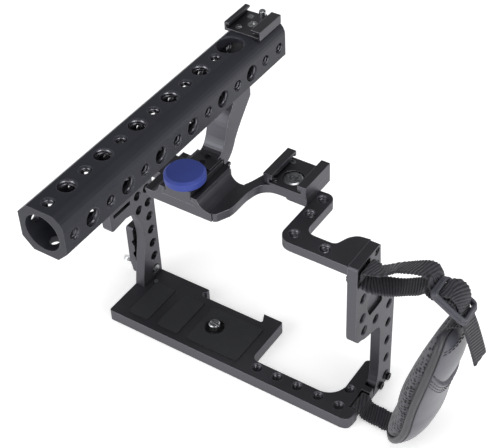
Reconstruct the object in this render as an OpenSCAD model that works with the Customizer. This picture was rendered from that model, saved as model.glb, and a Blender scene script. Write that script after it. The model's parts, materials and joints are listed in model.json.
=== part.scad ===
// Camera cage with a sliding top handle, an accessory shoe, a cable clamp and a padded hand strap.
// X = Y = 0 on the camera screw's axis, Z = 0 on the base's underside, the lens looks along +Y.

/* [Cage] */
// Distance from the camera screw to the left side plate's inner face
bay_left = 54; // [50:0.5:62]
// Distance from the camera screw to the right side plate's inner face
bay_right = 93.1; // [89:0.1:100]
// Clear height between the base and the top arm
bay_h = 99.5; // [92:0.5:112]
// Thickness of the base
base_t = 7.5; // [6.5:0.1:9]
// Thickness of the left side plate
left_t = 6; // [5:0.1:7]
// Thickness of the right side plate
right_t = 5.5; // [4.8:0.1:7]
// Thickness of the top arm
arm_t = 5.5; // [4.5:0.1:7]
// Thickness of the neck plate that carries the shoe
neck_t = 5; // [4:0.1:6]
// Front edge of the base, towards the user
base_front = 20; // [18:0.5:24]
// Depth of the base behind the camera screw
base_back = 23.2; // [21:0.1:26]
// Width of the base's threaded arm
rail_w = 10.8; // [9:0.1:12]

/* [Threads and screws] */
// Radius of the small tapped holes, 1/4 inch
tap_s = 2.55; // [2.4:0.01:3.2]
// Radius of the large tapped holes, 3/8 inch
tap_l = 3.95; // [3.6:0.01:4.7]
// Countersink added to each tapped hole
tap_cs = 0.6; // [0.2:0.1:0.8]
// Pitch of the holes in the left side plate
left_pitch = 10.3; // [8:0.1:10.4]
// Pitch of the holes in the right side plate's leg
right_pitch = 13.65; // [10:0.05:13.8]
// Pitch of the holes in the base's arm
rail_pitch = 12.9; // [10:0.1:13]
// Radius of the camera screw, 1/4 inch
stud_r = 3.175; // [2.8:0.005:3.4]
// Height of the camera screw above the base
stud_h = 3.6; // [3:0.1:5]
// Radius of the camera screw's head
stud_head_r = 6.4; // [5.5:0.1:7.5]
// Radius of the small assembly screws
fix_r = 1.25; // [1:0.05:1.5]

/* [Slide block and handle] */
// Half width of the slide block
block_w = 11.2; // [11:0.1:14]
// Length of the slide block along the lens direction
block_l = 33.4; // [30:0.2:40]
// Height of the slide block above the neck plate
block_h = 5.7; // [5:0.1:7]
// Half width of the channel under its lips
slot_w = 10; // [9:0.1:10.2]
// Half width of the channel's mouth
mouth_w = 8; // [7:0.1:8.6]
// Height of the channel under its lips
slot_h = 3; // [2.5:0.1:3.6]
// Side of the square handle tube
tube_w = 25; // [23:0.5:28]
// Length of the handle tube
tube_l = 175; // [170:1:190]
// Radius of the handle tube's bore
tube_bore = 9.5; // [8:0.1:9.8]
// Cut of the handle tube's corners
tube_cut = 5.6; // [4:0.1:6.5]
// Pitch of the handle tube's holes
tube_pitch = 12.5; // [11.5:0.1:12.8]
// Height of the tube's underside above the slide block
tube_rise = 32.2; // [28:0.2:38]
// Half width of the handle's arm
arm_w = 5.9; // [5:0.1:7.5]
// Radius of the clamping knob
knob_r = 10.75; // [9:0.05:11.5]
// Height of the clamping knob
knob_h = 5.3; // [4:0.1:7]

/* [Shoes] */
// Outer width of the shoe on the neck plate
shoe_w = 25; // [24.4:0.1:27]
// Length of the shoe on the neck plate
shoe_l = 23.5; // [21:0.5:26]
// Outer width of the shoe on the handle
hshoe_w = 21; // [20.6:0.1:22.4]
// Length of the shoe on the handle
hshoe_l = 19.2; // [18:0.1:22]
// Width between a shoe's walls
foot_w = 18.9; // [18.7:0.05:19.4]
// Height under a shoe's lips
foot_h = 2.2; // [2.1:0.05:2.4]
// Radius of the cross-recessed screw's head
cross_r = 5.3; // [4.5:0.1:6]

/* [Cable clamp] */
// Thickness of the clamp's jaw
jaw_t = 4.7; // [4:0.1:6]
// Gap between the jaw and the side plate
jaw_gap = 1.4; // [1:0.1:2.5]
// Radius of the thumbscrew's shaft
thumb_r = 2.5; // [2:0.05:2.9]

/* [Hand strap] */
// Width of the webbing
web_w = 12.5; // [10:0.5:13]
// Thickness of the webbing
web_t = 1.3; // [1:0.1:1.6]
// Half width of the padded grip
pad_w = 21; // [17:0.5:24]
// Half thickness of the padded grip
pad_t = 6.6; // [5:0.1:8]
// Thickness of the leather cover at its crown
cover_t = 6; // [3:0.1:7]
// Thickness of the buckle's bars
bar_t = 2.2; // [1.8:0.1:2.8]
// Length of the buckle
buckle_l = 22.5; // [21.5:0.5:25]

/* [Hidden] */
$fn = 48;
e = 0.01;
run = 0.06;
gap = 0.3;
seat = 0.15;
arm_z = base_t + bay_h;
top_z = arm_z + arm_t;
neck_z = top_z + neck_t;
block_z = neck_z + block_h;
left_x = -bay_left - left_t;
right_x = bay_right + right_t;
base_main_r = 31.2;
notch_w = 19.7;
hook_lean = 3;
notch_d = 6.1;
rail_back = rail_w - base_front;
tab_x = bay_right - 7.8;
leg_y = 7;
slot_x = right_x - 5;
strap_y0 = -11;
strap_y1 = strap_y0 + web_w + 1.6;
strap_bar = 2.5;
end_bar = 2.9;
strap_bar_z0 = 2.2;
strap_bar_z1 = 5.6;
rail_x = 37;
rail_y = rail_w / 2 - base_front + 1.6;
pad_h = 1;
pad_in = 0.6;
pads = [[-50, -36], [-30, -15.3], [-9.5, 25]];
pad_y0 = -15.5;
pad_y1 = 13;
stud_head_h = 3;
stud_head_z = 0.8;
clip_h = 0.8;
clip_r = stud_r + 1.9;
clip_z = base_t - pad_in - clip_h;
shank_r = 2.5;
thread_z = clip_z + clip_h + 0.3;
left_y0 = -15;
left_y1 = base_back;
left_hole_y = 17.7;
left_hole_z = base_t + 5.1;
left_slot_z = 66;
left_fix_y = [left_hole_y - 8.9, left_hole_y - 4.5];
right_y0 = -14.6;
right_y1 = 26;
right_hole_y = 20.2;
right_hole_z = 6.2;
side_y = [15, 22.8];
side_z = 2.3;
side_head = 2.2;
pocket_z0 = arm_z - 37;
pocket_z1 = arm_z - 20.5;
pocket_y0 = -1.2;
pocket_y1 = 12.3;
pocket_d = 1.6;
web_slot_t = web_t + 1.1;
web_slot_y = right_y0 + 1;
web_slot_z = arm_z - 7.7;
web_bar = 1.9;
leg_x0 = 53.4;
leg_x1 = 63.2;
lug_y = 21.8;
foot_fix_y = [0.6, 5.6];
top_fix_z = arm_z + arm_t / 2;
top_fix_y = [4.6, -4.6];
block_y0 = 12.1 - block_l;
block_y1 = 12.1;
block_e = 9.5;
slot_z = neck_z + 1;
shoe_x = 41.3;
shoe_y = 12.5;
shoe_floor = 1.5;
shoe_lip = 2.8;
lip_w = 5;
cross_y = 21.8;
lug_end = 4.2;
cross_x = 40.7;
foot_top = block_z + 3.2;
knob_y = -14;
knob_z = foot_top + 0.2;
knob_stud = 2.5;
tube_z = block_z + tube_rise;
tube_mid = tube_z + tube_w / 2;
tube_y1 = 61;
tube_y0 = tube_y1 - tube_l;
tube_n = 13;
bolt_y = tube_y1 - 30.9;
tube_hole = bolt_y - 11 * tube_pitch;
bolt_r = 2.5;
bolt_head = 4.6;
bolt_z = tube_z + 2.4;
hshoe_y1 = tube_y1 - 1.8;
hshoe_y0 = hshoe_y1 - hshoe_l;
hshoe_z = tube_z + tube_w;
hshoe_floor = 1.3;
hshoe_lip = 1.2;
hshoe_x = 0.8;
pin_y = hshoe_y1 - 0.6;
pin_r = 1.8;
pin_h = 4.4;
clamp_y = left_hole_y;
clamp_z = left_hole_z;
jaw_x1 = left_x - jaw_gap;
jaw_x0 = jaw_x1 - jaw_t;
jaw_y0 = 9.7;
jaw_y1 = 24;
jaw_top = clamp_z + 33.7;
lug_r = 6.5;

// A point on a cubic curve
function bez(a, b, c, d, t) =
    a * pow(1 - t, 3) + b * 3 * t * pow(1 - t, 2) + c * 3 * t * t * (1 - t) + d * pow(t, 3);
function curve(a, b, c, d, n) = [for (i = [0:n]) bez(a, b, c, d, i / n)];
function unit(v) = v / norm(v);

// A block with rounded vertical edges
module slab(x0, y0, x1, y1, z0, z1, r) {
    translate([x0 + r, y0, z0]) cube([x1 - x0 - 2 * r, y1 - y0, z1 - z0]);
    translate([x0, y0 + r, z0]) cube([x1 - x0, y1 - y0 - 2 * r, z1 - z0]);
    for (x = [x0 + r, x1 - r], y = [y0 + r, y1 - r])
        translate([x, y, z0]) cylinder(h = z1 - z0, r = r);
}

// An outline in Y and Z, raised along X
module side(x0, x1, pts) {
    translate([x0, 0, 0]) rotate([90, 0, 90]) linear_extrude(x1 - x0) polygon(pts);
}

// A tapped hole along Z with a countersink at both mouths
module tap(x, y, z0, z1, r) {
    translate([x, y, z0 - 1]) cylinder(h = z1 - z0 + 2, r = r);
    translate([x, y, z0 - e]) cylinder(h = tap_cs, r1 = r + tap_cs, r2 = r);
    translate([x, y, z1 - tap_cs + e]) cylinder(h = tap_cs, r1 = r, r2 = r + tap_cs);
}

// The same along X
module tap_x(y, z, x0, x1, r) {
    translate([x0, y, z]) rotate([0, 90, 0]) tap(0, 0, 0, x1 - x0, r);
}

// A ribbon along a route, each stop given as its centre and its width direction
module ribbon(route, w, t) {
    n = len(route);
    dirs = [for (i = [0:n - 1]) unit(route[min(i + 1, n - 1)][0] - route[max(i - 1, 0)][0])];
    rows = [for (i = [0:n - 1])
        let (u = unit(route[i][1] - dirs[i] * (route[i][1] * dirs[i])))
        let (v = cross(dirs[i], u))
        for (s = [[-1, -1], [1, -1], [1, 1], [-1, 1]])
            route[i][0] + u * s[0] * w / 2 + v * s[1] * t / 2];
    walls = [for (i = [0:n - 2]) for (k = [0:3])
        for (f = [[i * 4 + k, i * 4 + 4 + k, i * 4 + (k + 1) % 4],
            [i * 4 + (k + 1) % 4, i * 4 + 4 + k, i * 4 + 4 + (k + 1) % 4]]) f];
    ends = [[0, 1, 2], [0, 2, 3], [n * 4 - 4, n * 4 - 2, n * 4 - 3], [n * 4 - 4, n * 4 - 1, n * 4 - 2]];
    polyhedron(points = rows, faces = concat(walls, ends));
}

module base_plate() {
    color("dimgray") difference() {
        union() {
            slab(left_x, -base_front, base_main_r, base_back, 0, base_t, 1.2);
            translate([0, -base_front, 0]) cube([tab_x + 4, rail_w, base_t]);
            slab(tab_x, -base_front, bay_right, right_y1 - 2.5, 0, base_t, 2.5);
            linear_extrude(base_t) polygon([[bay_right - 5, -base_front], [right_x - 4.9, -base_front],
                [right_x - 2.3, -base_front + 0.7], [right_x - 0.9, -base_front + 2],
                [right_x - 0.2, -base_front + 4.5], [right_x, -base_front + 9],
                [right_x, leg_y - seat], [bay_right - 5, leg_y - seat]]);
            fillet(base_main_r, rail_back, 4, 1);
            fillet(tab_x, rail_back, 11, -1);
        }
        translate([0, base_back, -1]) linear_extrude(base_t + 2) polygon([[-notch_w, 1], [-notch_w, -notch_d],
            [notch_w + 0.3, -notch_d], [notch_w + 1.1, 0.8 - notch_d], [notch_w + 1.3 - hook_lean, 1]]);
        translate([-notch_w, base_back - 4.2, -1]) cylinder(h = base_t + 2, r = 1.6);
        for (i = [0:4])
            tap(rail_x + i * rail_pitch, rail_y, 0, base_t, tap_s);
        tap(rail_x + 4 * rail_pitch - 0.6, rail_y + rail_pitch, 0, base_t, tap_s);
        for (p = pads)
            slab(p[0], pad_y0, p[1], pad_y1, base_t - pad_in, base_t + 1, 1.5);
        translate([0, 0, -1]) cylinder(h = base_t + 2, r = stud_r + 0.25);
        translate([0, 0, -1]) cylinder(h = stud_head_z + stud_head_h + seat + 1, r = stud_head_r + 0.3);
        translate([0, 0, clip_z - seat]) cylinder(h = 4, r = clip_r + 0.3);
        translate([slot_x, strap_y0, -1]) cube([right_x - strap_bar - slot_x, strap_y1 - strap_y0, base_t + 2]);
        translate([slot_x, strap_y0, strap_bar_z1]) cube([10, strap_y1 - strap_y0, base_t]);
        translate([slot_x, strap_y0, -1]) cube([10, strap_y1 - strap_y0, strap_bar_z0 + 1]);
        for (y = side_y)
            translate([bay_right - 7, y, side_z]) rotate([0, 90, 0]) cylinder(h = 8, r = fix_r);
        for (y = left_fix_y)
            foot_bore(left_x + left_t / 2, y, 1.6, 0);
        translate([-bay_left + 3, 13, base_t - 4]) cylinder(h = 5, r = fix_r);
    }
}

// The corner fill between a bar's back edge and a wall to the left or right of it
module fillet(x, y, r, s) {
    difference() {
        translate([s > 0 ? x - e : x - r, y - e, 0]) cube([r + e, r + e, base_t]);
        translate([x + s * r, y + r, -1]) cylinder(h = base_t + 2, r = r);
    }
}

// A stepped hole for a screw that comes up from below
module foot_bore(x, y, depth, z) {
    translate([x, y, z - 1]) cylinder(h = base_t + 2, r = fix_r + run);
    translate([x, y, z - 1]) cylinder(h = depth + 1, r = 2.3);
}

module base_pads() {
    color("black") difference() {
        for (p = pads)
            slab(p[0] + 0.1, pad_y0 + 0.1, p[1] - 0.1, pad_y1 - 0.1,
                base_t - pad_in, base_t - pad_in + pad_h, 1.4);
        translate([0, 0, 0]) cylinder(h = base_t + 3, r = clip_r + 0.6);
    }
}

module camera_screw() {
    top = base_t + stud_h;
    color("silver") difference() {
        union() {
            translate([0, 0, stud_head_z]) cylinder(h = stud_head_h, r = stud_head_r);
            translate([0, 0, stud_head_z]) cylinder(h = base_t, r = shank_r);
            translate([0, 0, thread_z]) cylinder(h = top - thread_z - 0.5, r = stud_r);
            translate([0, 0, top - 0.5 - e]) cylinder(h = 0.5, r1 = stud_r, r2 = stud_r - 0.5);
        }
        translate([-stud_head_r - 1, -0.6, top - 1.2]) cube([2 * stud_head_r + 2, 1.2, 2]);
        translate([-stud_head_r - 1, -0.8, stud_head_z - 1]) cube([2 * stud_head_r + 2, 1.6, 2.2]);
    }
}

module screw_clip() {
    color("dimgray") translate([0, 0, clip_z]) difference() {
        cylinder(h = clip_h, r = clip_r);
        translate([0, 0, -1]) cylinder(h = clip_h + 2, r = shank_r + run);
        translate([-0.8, 0, -1]) cube([1.6, clip_r + 1, clip_h + 2]);
    }
}

module base_screws() {
    color("silver") for (y = left_fix_y)
        translate([left_x + left_t / 2, y, 0]) {
            difference() {
                cylinder(h = 1.6, r = 2.2);
                translate([0, 0, -e]) cylinder(h = 1, r = 1.1, $fn = 6);
            }
            cylinder(h = base_t + 5, r = fix_r);
        }
}

module base_dowel() {
    color("silver") translate([-bay_left + 3, 13, base_t - 4]) cylinder(h = 4.3, r = fix_r);
}

left_low = curve([5.4, base_t], [6.6, base_t + 8], [8.6, base_t + 17], [10.6, base_t + 27], 8);
left_mid = curve([10.9, base_t + 29], [12.6, base_t + 41], [8.8, arm_z - 43], [2, arm_z - 41.2], 12);

module left_plate() {
    bar_z = arm_z - 40.4;
    color("dimgray") difference() {
        side(left_x, -bay_left, concat(left_low, left_mid,
            [[-2, bar_z + 0.2], [left_y0 + 2, bar_z - 0.9], [left_y0 + 0.5, bar_z - 0.3], [left_y0, bar_z + 1.5],
            [left_y0, top_z - 3], [left_y0 + 3, top_z], [left_y1 - 3, top_z], [left_y1, top_z - 3],
            [left_y1, base_t]]));
        translate([left_x - 1, -12, base_t + left_slot_z]) cube([left_t + 2, 15, 2.8]);
        for (k = [0:9])
            tap_x(left_hole_y, left_hole_z + k * left_pitch, left_x, -bay_left, tap_s);
        for (k = [5:6])
            tap_x(left_hole_y - 8.3, left_hole_z + k * left_pitch, left_x, -bay_left, tap_s);
        for (y = left_fix_y)
            translate([left_x + left_t / 2, y, base_t - 1]) cylinder(h = 6.2, r = fix_r);
        for (y = [-5, 5])
            translate([left_x + left_t / 2, y, top_z - 6]) cylinder(h = 8, r = fix_r);
    }
}

module left_screws() {
    color("silver") for (y = [-5, 5])
        translate([left_x + left_t / 2, y, top_z - 5.8]) {
            cylinder(h = 5.8 + neck_t - 2, r = fix_r);
            translate([0, 0, 5.8 + neck_t - 2]) difference() {
                cylinder(h = 1.8, r = 2.2);
                translate([0, 0, 0.8]) cylinder(h = 2, r = 1.1, $fn = 6);
            }
        }
}

module right_plate() {
    lobe = arm_z - 45;
    shoulder = arm_z - 23;
    color("dimgray") difference() {
        side(bay_right, right_x, concat(
            [[leg_y, 0], [right_y1 - 0.6, 0], [right_y1, 0.6], [right_y1, shoulder - 22]],
            curve([right_y1, shoulder - 20], [right_y1, shoulder - 12], [18, shoulder - 3], [13, shoulder + 1], 8),
            curve([11, shoulder + 2.8], [9.6, shoulder + 5], [9.3, shoulder + 9], [8.8, shoulder + 16], 5),
            [[8, top_z - 0.8], [7.2, top_z], [right_y0 + 0.8, top_z], [right_y0, top_z - 0.8]],
            curve([right_y0, lobe + 4.5], [right_y0, lobe + 0.7], [-13, lobe - 1.7], [-10.2, lobe - 2.2], 6),
            curve([-8, lobe - 3], [-6, lobe - 4.6], [-3, lobe - 5.6], [2, lobe - 6.6], 4),
            curve([4.5, lobe - 7.4], [8, lobe - 8.4], [11.6, lobe - 9], [11.8, lobe - 14], 6),
            curve([12, 24], [12, 15], [11.6, 9], [leg_y + 0.4, 2.6], 6)));
        side(right_x - pocket_d, right_x + 1, concat([[pocket_y0 + 0.2, pocket_z0 + 0.9],
            [pocket_y0 + 1, pocket_z0], [pocket_y1 - 1, pocket_z0], [pocket_y1, pocket_z0 + 1]],
            curve([pocket_y1, pocket_z0 + 4], [pocket_y1, pocket_z0 + 8], [8.4, pocket_z0 + 11],
                [6.4, pocket_z1 - 2], 6),
            [[5.4, pocket_z1]],
            curve([pocket_y0 + 1, pocket_z1], [pocket_y0 - 4.4, pocket_z0 + 12], [pocket_y0 - 3.8, pocket_z0 + 9],
                [pocket_y0 - 0.4, pocket_z0 + 2], 6)));
        for (z = [web_slot_z, web_slot_z + web_slot_t + web_bar])
            translate([bay_right - 1, web_slot_y, z]) cube([right_t + 2, web_w + 0.6, web_slot_t]);
        for (k = [0:4])
            tap_x(right_hole_y, right_hole_z + k * right_pitch, bay_right, right_x, tap_s);
        for (p = [[5.9, -45], [-6.1, -42.7], [-8, -32.4], [-8, -18.7], [4.2, -6.3]])
            tap_x(p[0], arm_z + p[1], bay_right, right_x, tap_s);
        for (y = side_y)
            translate([bay_right - 1, y, side_z]) rotate([0, 90, 0]) cylinder(h = right_t + 2, r = fix_r + run);
        for (y = top_fix_y) translate([bay_right - 1, y, top_fix_z]) rotate([0, 90, 0]) {
            cylinder(h = right_t + 2, r = fix_r + run);
            translate([0, 0, right_t - 1.2]) cylinder(h = 4, r = side_head + 0.15);
        }
    }
}

// A cap screw along X whose head's inner face is at x
module cap_x(x, y, z, back, head, h) {
    translate([x, y, z]) rotate([0, 90, 0]) {
        difference() {
            cylinder(h = h, r = head);
            translate([0, 0, h - 1]) cylinder(h = 2, r = 1.15, $fn = 6);
        }
        translate([0, 0, -back]) cylinder(h = back, r = fix_r);
    }
}

module side_screws() {
    color("black") for (y = side_y)
        cap_x(right_x, y, side_z, right_t + 6, side_head, 1.3);
}

module top_screws() {
    color("black") for (y = top_fix_y)
        cap_x(right_x - 2.2, y, top_fix_z, right_t + 4, side_head, 1.8);
}

module top_arm() {
    color("dimgray") translate([0, 0, arm_z]) difference() {
        union() {
            linear_extrude(arm_t) polygon(concat(
                [[bay_right, right_y0], [bay_right, 8], [bay_right - 2.1, 7.6]],
                curve([bay_right - 3.5, 7.5], [tab_x + 0.5, 7.4], [tab_x - 2, 4], [tab_x - 3, 1.4], 6),
                curve([tab_x - 3.7, -0.4], [tab_x - 4.4, -2.4], [tab_x - 5, -3.9], [tab_x - 8, -3.9], 5),
                curve([leg_x1 + 5.5, -3.9], [leg_x1 + 2, -3.9], [leg_x1, -1.9], [leg_x1, 1.6], 5),
                [[leg_x1, lug_y], [leg_x1 - 5, lug_y + 5.1], [cross_x, cross_y + lug_end], [cross_x, cross_y - lug_end],
                [leg_x0 - 4, cross_y - lug_end]],
                curve([leg_x0 - 1.8, cross_y - lug_end - 0.1], [leg_x0, cross_y - lug_end - 0.4], [leg_x0, cross_y - 6.6],
                [leg_x0, cross_y - 8.8], 4),
                curve([leg_x0, -7.5], [leg_x0, -11.5], [56.6, right_y0], [60.6, right_y0], 7)));
            translate([leg_x1 - 5.1, lug_y, 0]) cylinder(h = arm_t, r = 5.1);
            translate([cross_x, cross_y, 0]) cylinder(h = arm_t, r = lug_end);
        }
        tap(leg_x1 - 5, lug_y, 0, arm_t, tap_s);
        tap((leg_x0 + leg_x1) / 2, 9.1, 0, arm_t, tap_s);
        tap((leg_x0 + leg_x1) / 2 + 1, -7.4, 0, arm_t, tap_s);
        tap(77.6, -8.9, 0, arm_t, tap_s);
        translate([cross_x, cross_y, -1]) cylinder(h = arm_t + 2, r = 2.95 + run);
        for (y = top_fix_y)
            translate([bay_right - 8, y, arm_t / 2]) rotate([0, 90, 0]) cylinder(h = 9, r = fix_r);
    }
}

module top_block() {
    x0 = -block_w - block_e;
    x1 = block_w + 8.6;
    shoe_x0 = shoe_x - shoe_w / 2;
    color("dimgray") difference() {
        union() {
            translate([0, 0, top_z]) linear_extrude(neck_t) polygon(concat(
                [[x1 - 2, block_y0 + 4], [x1 + 0.6, block_y0 + 0.4], [x1 + 2.4, block_y0 + 1.6]],
                curve([25.4, -13.4], [26.6, -9], [25.6, -2], [26.3, 1.6], 6),
                curve([26.8, 4], [27.6, 9], [30, 13.3], [38, 13.3], 8),
                [[shoe_x + shoe_w / 2, 13.3], [shoe_x + shoe_w / 2, shoe_y + shoe_l],
                [shoe_x0, shoe_y + shoe_l]],
                curve([shoe_x0 - 2.2, 21.5], [23.4, 12], [22.6, 6.2], [x1, 5.8], 8),
                [[x1 - 2, 5.7], [x1 - 2, block_y0 + 4]]));
            translate([0, block_y1, 0]) rotate([90, 0, 0]) linear_extrude(block_l) polygon(concat(
                curve([x0, neck_z], [x0, top_z + 1.6], [x0 + 2, top_z], [x0 + 5, top_z], 6),
                [[x1, top_z], [x1, neck_z]],
                curve([block_w + 7, neck_z + 0.1], [block_w + 3, neck_z + 0.8], [block_w + 1, neck_z + 2.6],
                    [block_w + 0.2, block_z], 6),
                curve([-block_w, block_z], [-block_w - 0.8, neck_z + 2.6], [-block_w - 2, neck_z - 0.2],
                    [-block_w - 5.5, neck_z - 0.3], 6)));
            translate([left_x, -8, top_z]) cube([x0 - left_x + 3, 16, neck_t]);
        }
        translate([0, 0, top_z - 1]) linear_extrude(block_h + neck_t + 2) polygon(concat(
            [[9.4, block_y1 + 1]], curve([9.6, 9.6], [12, 6.8], [16, 5.7], [18.9, 5.7], 6),
            [[x1 + 1.6, 5.9], [x1 + 1.6, block_y1 + 1]]));
        translate([-slot_w, block_y0 - 1, slot_z]) cube([2 * slot_w, block_l + 2, slot_h]);
        translate([-mouth_w, block_y0 - 1, slot_z]) cube([2 * mouth_w, block_l + 2, 20]);
        for (y = [-5, 5]) translate([left_x + left_t / 2, y, top_z - 1]) {
            cylinder(h = neck_t + 2, r = fix_r + run);
            translate([0, 0, 1 + neck_t - 2]) cylinder(h = 4, r = 2.35);
        }
        translate([cross_x, cross_y, top_z - 1]) cylinder(h = neck_t + 2, r = 3.1);
        for (p = shoe_holes)
            translate([p[0], p[1], neck_z - 3.2]) cylinder(h = 4, r = 0.9);
    }
}

shoe_holes = [for (sx = [-1, 1], sy = [-1, 1])
    [shoe_x + sx * (foot_w / 2 - 1.9), shoe_y + shoe_l / 2 + sy * (shoe_l / 2 - 3)]];

// A shoe that a standard foot slides into along Y, its floor at z; l and r are its lips' widths
module shoe(x, y0, y1, z, w, floor_t, lip_t, l, r) {
    difference() {
        translate([x - w / 2, y0, z]) cube([w, y1 - y0, floor_t + foot_h + lip_t]);
        translate([x - foot_w / 2, y0 - 1, z + floor_t]) cube([foot_w, y1 - y0 + 2, foot_h]);
        translate([x - w / 2 + l, y0 - 1, z + floor_t]) cube([w - l - r, y1 - y0 + 2, foot_h + lip_t + 1]);
    }
}

module top_shoe() {
    color("dimgray") difference() {
        shoe(shoe_x, shoe_y, shoe_y + shoe_l, neck_z, shoe_w, shoe_floor, shoe_lip, lip_w, lip_w);
        translate([cross_x, cross_y, neck_z - 1]) cylinder(h = 5, r = 3.1);
        translate([cross_x, cross_y, neck_z + 0.3]) cylinder(h = 5, r = cross_r + 0.4);
        for (p = shoe_holes) {
            translate([p[0], p[1], neck_z - 1]) cylinder(h = 5, r = 0.95);
            translate([p[0], p[1], neck_z + 0.6]) cylinder(h = 5, r = 1.6);
        }
    }
}

module cross_screw() {
    color("silver") translate([cross_x, cross_y, 0]) difference() {
        union() {
            translate([0, 0, arm_z]) cylinder(h = neck_z + 0.4 - arm_z, r = 2.95);
            translate([0, 0, neck_z + 0.3]) cylinder(h = 0.7, r = cross_r);
            translate([0, 0, neck_z + 1 - e]) cylinder(h = 0.5, r1 = cross_r, r2 = cross_r - 0.9);
        }
        for (a = [0, 90]) rotate([0, 0, a + 20])
            translate([-2.6, -0.55, neck_z - 0.2]) cube([5.2, 1.1, 3]);
    }
}

module shoe_screws() {
    color("silver") for (p = shoe_holes) translate([p[0], p[1], neck_z - 3.1]) {
        cylinder(h = 3.8, r = 0.9);
        difference() {
            translate([0, 0, 3.7]) cylinder(h = 0.8, r = 1.5);
            translate([-2, -0.25, 4.1]) cube([4, 0.5, 1]);
        }
    }
}

module foot() {
    color("dimgray") difference() {
        union() {
            translate([-slot_w + seat, block_y0, slot_z + 0.1])
                cube([2 * slot_w - 2 * seat, block_l - 1.2, slot_h - 0.2]);
            slab(-mouth_w + seat, block_y0, mouth_w - seat, block_y1 - 4, slot_z + 0.1, foot_top, 0.8);
        }
        translate([0, knob_y, slot_z - 1]) cylinder(h = 30, r = knob_stud + run);
        for (y = foot_fix_y) {
            translate([0, y, slot_z - 1]) cylinder(h = 30, r = 1.5);
            translate([0, y, slot_z - 1]) cylinder(h = 3.3, r = 2.3);
        }
    }
}

module clamp_stud() {
    color("silver") translate([0, knob_y, slot_z + 0.1])
        cylinder(h = knob_z - slot_z - 0.1 + 3, r = knob_stud);
}

module clamp_knob() {
    color("royalblue") translate([0, knob_y, knob_z]) difference() {
        union() {
            cylinder(h = 0.8, r1 = knob_r - 0.6, r2 = knob_r);
            translate([0, 0, 0.8 - e]) cylinder(h = knob_h - 2.1, r = knob_r);
            translate([0, 0, knob_h - 1.3 - 2 * e]) cylinder(h = 1.3, r1 = knob_r, r2 = knob_r - 1.3);
        }
        translate([0, 0, -1]) cylinder(h = 4, r = knob_stud);
    }
}

module handle_arm() {
    rise = tube_z - foot_top;
    top0 = bolt_y - 6.2;
    top1 = bolt_y + 7;
    color("dimgray") difference() {
        union() {
            side(-arm_w, arm_w, concat(
                [[3, foot_top], [3, foot_top + 0.8], [5.6, foot_top + 0.8]],
                curve([6.8, foot_top + 1.1], [11, foot_top + 2.5], [11.8, foot_top + rise * 0.17],
                    [13.2, foot_top + rise * 0.28], 6),
                curve([14.8, foot_top + rise * 0.44], [16, foot_top + rise * 0.58], [17.8, foot_top + rise * 0.7],
                    [21, foot_top + rise * 0.83], 6),
                [[top0, tube_z], [top1, tube_z], [top1 + 0.4, foot_top + rise * 0.86],
                [top1 + 0.4, foot_top + rise * 0.74]],
                curve([top1 - 1.4, foot_top + rise * 0.67], [top1 - 6, foot_top + rise * 0.5],
                    [22.6, foot_top + rise * 0.2], [20.8, foot_top + rise * 0.02], 7),
                curve([18.8, foot_top - 2.4], [16, foot_top - 5.5], [14, slot_z + 1.4], [10.9, slot_z + 0.4], 6),
                [[10.9, foot_top - 1.9], [8.3, foot_top - 1.9], [8.3, foot_top]]));
            slab(-mouth_w + 1, -2.6, mouth_w - 1, 8, foot_top, foot_top + 0.8, 0.6);
        }
        translate([0, bolt_y, foot_top + 8]) cylinder(h = 60, r = bolt_r + run);
        for (y = foot_fix_y)
            translate([0, y, foot_top - 1]) cylinder(h = 2.2, r = 1.5);
    }
}

module foot_screws() {
    color("black") for (y = foot_fix_y) translate([0, y, slot_z + 0.3]) {
        difference() {
            cylinder(h = 2, r = 2.1);
            translate([0, 0, -e]) cylinder(h = 1.2, r = 1.1, $fn = 6);
        }
        cylinder(h = foot_top - slot_z - 0.3 + 1.2, r = 1.5);
    }
}

module handle_tube() {
    h = tube_w / 2;
    c = tube_cut;
    ring = [[-h, -h + c], [-h + c, -h], [h - c, -h], [h, -h + c]];
    crown = curve([h, h - c - 1.2], [h, h - c + 2.2], [h - c + 2.2, h], [h - c - 1.2, h], 6);
    color("darkslategray") difference() {
        translate([0, tube_y1, tube_mid]) rotate([90, 0, 0]) linear_extrude(tube_l)
            polygon(concat(ring, crown, [[-h + c, h], [-h, h - c]]));
        translate([0, tube_y1 + 1, tube_mid]) rotate([90, 0, 0]) cylinder(h = tube_l + 2, r = tube_bore, $fn = 64);
        for (k = [0:10])
            tap(0, tube_hole + k * tube_pitch, tube_mid, tube_z + tube_w, k % 2 == 0 ? tap_s : tap_l);
        tap(0, bolt_y, tube_mid, tube_z + tube_w, 7);
        translate([0, bolt_y, tube_z - 1]) cylinder(h = 10, r = bolt_r + run);
        translate([0, bolt_y, bolt_z]) cylinder(h = 10, r = bolt_head + 0.6);
        for (k = [0:tube_n])
            tap_x(tube_hole + k * tube_pitch, tube_mid, -h, h, (k % 2 == 1 && k < 12) ? tap_l : tap_s);
        for (k = [0, 2, 4, 6, 8, 10])
            translate([0, tube_hole + k * tube_pitch, tube_z - 1]) cylinder(h = 10, r = tap_s);
        translate([hshoe_x, pin_y, hshoe_z - 6]) cylinder(h = 7, r = pin_r + run);
        for (p = hshoe_holes)
            translate([p[0], p[1], hshoe_z - 2.6]) cylinder(h = 4, r = 0.9);
        translate([hshoe_x, hshoe_y, hshoe_z - 2.6]) cylinder(h = 4, r = 1.4);
    }
}

hshoe_y = (hshoe_y0 + hshoe_y1) / 2;
hshoe_holes = [for (sx = [-1, 1], sy = [-1, 1]) [hshoe_x + sx * 4.8, hshoe_y + sy * 5.4]];

module tube_bolt() {
    color("silver") translate([0, bolt_y, bolt_z]) {
        difference() {
            cylinder(h = 5, r = bolt_head);
            translate([0, 0, 2.4]) cylinder(h = 4, r = 2.4, $fn = 6);
        }
        translate([0, 0, -12]) cylinder(h = 12, r = bolt_r);
    }
}

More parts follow.
